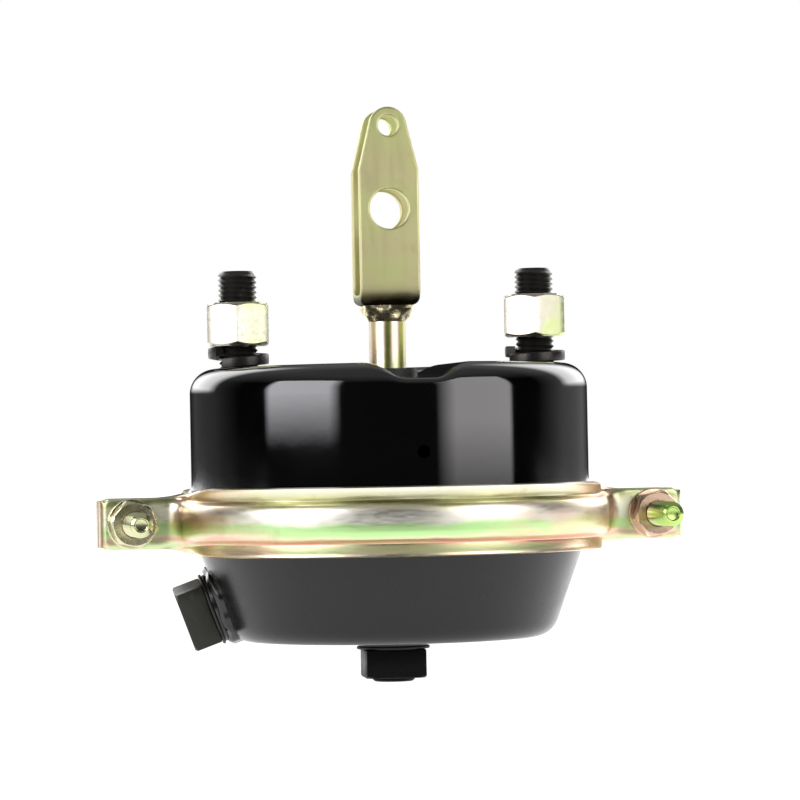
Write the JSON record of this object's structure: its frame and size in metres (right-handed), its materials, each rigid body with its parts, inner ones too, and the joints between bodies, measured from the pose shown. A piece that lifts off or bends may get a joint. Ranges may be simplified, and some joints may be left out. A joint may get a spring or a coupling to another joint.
{
  "type": "air brake chamber",
  "caption": "Diaphragm air brake chamber: pressed steel can and dish held by a split clamp band, threaded mounting studs with nuts, and a sliding pushrod with a welded U-shaped yoke.",
  "frame": {"origin": "centre of the mounting face (the can's end face), on the pushrod's axis", "axes": "+Z along the pushrod, out of the chamber towards the yoke; +X through the two mounting studs, away from the side port; -Y is the front, where the clamp's nuts are"},
  "size_m": [0.2352, 0.1752, 0.2297],
  "materials": {
    "gloss_black": "high-gloss black enamel, mirror-smooth",
    "satin_black": "satin black enamel",
    "boss_black": "semi-gloss black enamel, also over the welds",
    "zinc_yellow": "bright yellow zinc plate with pink and green tints",
    "zinc_pale": "pale yellow zinc plate, machined",
    "zinc_khaki": "yellow zinc plate on rolled sheet, satin",
    "zinc_rod": "bright drawn rod, yellow zinc plate",
    "weld_metal": "weld bead under zinc plate, rippled",
    "black_steel": "black phosphated steel, oiled",
    "plug_metal": "dark phosphated iron, slightly shiny",
    "spring_steel": "oil-hardened spring wire, painted dark grey",
    "plate_steel": "zinc-plated pressed steel",
    "diaphragm_rubber": "fabric-reinforced black rubber",
    "seal_fibre": "smooth dark grey sealing ring",
    "guide_plastic": "black moulded plastic"
  },
  "bodies": {
    "housing": {"non_pressure_housing": "gloss_black", "pressure_housing": "satin_black", "diaphragm": "diaphragm_rubber", "rod_guide": "guide_plastic", "stud_pads": "black_steel", "mounting_studs": "black_steel", "mounting_nuts": "zinc_pale", "spring_washers": "black_steel", "clamp_front": "zinc_yellow", "clamp_rear": "zinc_yellow", "clamp_bolts": "zinc_yellow", "clamp_nuts": "zinc_yellow", "clamp_washers": "zinc_yellow", "side_port_boss": "boss_black", "side_port_weld": "boss_black", "side_plug_seal": "seal_fibre", "side_port_plug": "plug_metal", "bottom_port_boss": "boss_black", "bottom_port_weld": "boss_black", "bottom_plug_seal": "seal_fibre", "bottom_port_plug": "plug_metal"},
    "push_plate": {"push_plate": "plate_steel", "return_spring": "spring_steel"},
    "pushrod": {"pushrod": "zinc_rod", "yoke": "zinc_khaki", "yoke_weld": "weld_metal"}
  },
  "joints": [
    {"name": "pushrod_slide", "type": "slide", "parent": "housing", "child": "push_plate", "axis": [0, 0, 1], "range_m": [0, 0.057], "stiffness_N_per_m": 1500, "springref_m": -0.06, "deforming": ["return_spring", "diaphragm"]},
    {"name": "pushrod_spin", "type": "hinge", "parent": "push_plate", "child": "pushrod", "pos_m": [0, 0, 0], "axis": [0, 0, 1], "continuous": true}
  ]
}
